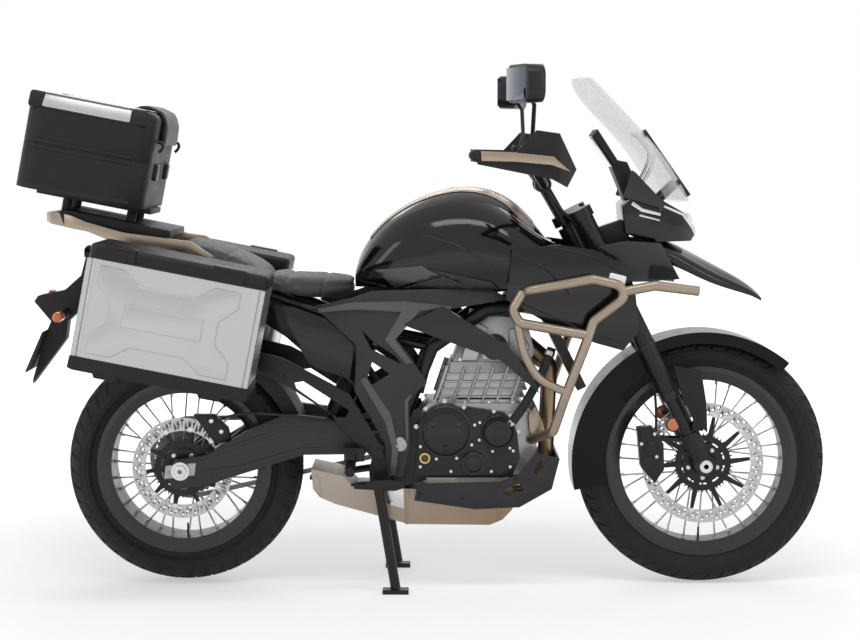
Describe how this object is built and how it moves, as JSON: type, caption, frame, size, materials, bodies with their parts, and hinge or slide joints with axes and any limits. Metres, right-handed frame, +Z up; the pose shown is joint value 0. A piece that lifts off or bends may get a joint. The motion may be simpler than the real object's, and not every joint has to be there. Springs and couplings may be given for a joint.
{
  "type": "adventure motorcycle",
  "caption": "Adventure motorcycle on its centre stand with wire wheels, crash bars, a tall screen, two side luggage cases and a top case with a backrest.",
  "frame": {"origin": "on the floor under the middle of the machine's length and width", "axes": "+X towards the front wheel, +Y towards the rider's left, +Z up"},
  "size_m": [2.1089, 0.9662, 1.358],
  "materials": {
    "tyre": "matt rubber with a road tread",
    "rim_black": "satin black rim with bright steel spokes",
    "disc_steel": "drilled, brushed brake steel",
    "chain_steel": "oiled steel",
    "black_metal": "satin black powder coat",
    "bronze_paint": "satin champagne bronze metallic paint",
    "matt_black": "fine-grained black plastic",
    "gloss_black": "polished black lacquer",
    "engine_grey": "cast, bead blasted",
    "engine_black": "satin black cast covers",
    "exhaust_steel": "heat-tinted stainless steel",
    "bash_metal": "satin black pressed aluminium",
    "seat_cover": "black grained vinyl with seams",
    "case_aluminium": "brushed along its length, anodised",
    "screen": "clear moulded screen",
    "lamp_glass": "dark lamp housing with clear lenses"
  },
  "bodies": {
    "chassis": {"bash_plate": "bash_metal", "beak": "gloss_black", "case_carriers": "black_metal", "chain": "chain_steel", "crash_bars": "bronze_paint", "dash": "matt_black", "engine_block": "engine_grey", "engine_covers": "engine_black", "exhaust": "exhaust_steel", "fairing_stay": "black_metal", "foot_controls": "black_metal", "footrests": "black_metal", "front_sprocket": "chain_steel", "grab_rail": "bronze_paint", "headlamp": "lamp_glass", "lower_strips": "gloss_black", "main_frame": "black_metal", "nose_panels": "matt_black", "panniers": "case_aluminium", "pillion_seat": "seat_cover", "plate_holder": "matt_black", "rack_plate": "matt_black", "radiator": "black_metal", "rear_caliper": "black_metal", "rear_hugger": "matt_black", "rider_seat": "seat_cover", "seat_panels": "gloss_black", "shock": "black_metal", "shrouds": "gloss_black", "side_covers": "matt_black", "subframe": "black_metal", "swingarm": "black_metal", "tail_cover": "matt_black", "tank": "gloss_black", "top_case": "matt_black", "windscreen": "screen"},
    "steering": {"fork": "black_metal", "handlebar": "black_metal", "hand_guards": "bronze_paint", "mirrors": "matt_black", "front_fender": "gloss_black", "front_caliper": "black_metal", "fork_guards": "matt_black"},
    "front_wheel": {"front_tyre": "tyre", "front_rim": "rim_black", "front_disc": "disc_steel"},
    "rear_wheel": {"rear_tyre": "tyre", "rear_rim": "rim_black", "rear_disc": "disc_steel", "rear_sprocket": "chain_steel"},
    "centre_stand": {"centre_stand": "black_metal"},
    "side_stand": {"side_stand": "black_metal"},
    "top_case_lid": {"top_case_lid": "case_aluminium", "backrest_pad": "seat_cover"},
    "pannier_lid_right": {"pannier_lid_right": "matt_black"},
    "pannier_lid_left": {"pannier_lid_left": "matt_black"}
  },
  "joints": [
    {"name": "steer", "type": "hinge", "parent": "chassis", "child": "steering", "pos_m": [0.39662, 0, 0.894], "axis": [-0.4462, 0, 0.8949], "range_deg": [-34, 34]},
    {"name": "front_wheel_spin", "type": "hinge", "parent": "steering", "child": "front_wheel", "pos_m": [0.725, 0, 0.3295], "axis": [0, 1, 0], "continuous": true},
    {"name": "rear_wheel_spin", "type": "hinge", "parent": "chassis", "child": "rear_wheel", "pos_m": [-0.645, 0, 0.318], "axis": [0, 1, 0], "continuous": true},
    {"name": "centre_stand_fold", "type": "hinge", "parent": "chassis", "child": "centre_stand", "pos_m": [-0.13, 0, 0.29], "axis": [0, 1, 0], "range_deg": [0, 95]},
    {"name": "side_stand_fold", "type": "hinge", "parent": "chassis", "child": "side_stand", "pos_m": [-0.062, 0.195, 0.286], "axis": [0, -0.9781, -0.2079], "range_deg": [0, 95]},
    {"name": "top_lid_hinge", "type": "hinge", "parent": "chassis", "child": "top_case_lid", "pos_m": [-0.69831, 0, 1.1163], "axis": [0, 1, 0], "range_deg": [0, 85]},
    {"name": "pannier_lid_hinge_right", "type": "hinge", "parent": "chassis", "child": "pannier_lid_right", "pos_m": [-0.81772, -0.466, 0.89797], "axis": [0.9816, 0, -0.1908], "range_deg": [0, 95]},
    {"name": "pannier_lid_hinge_left", "type": "hinge", "parent": "chassis", "child": "pannier_lid_left", "pos_m": [-0.81772, 0.466, 0.89797], "axis": [-0.9816, 0, 0.1908], "range_deg": [0, 95]}
  ]
}
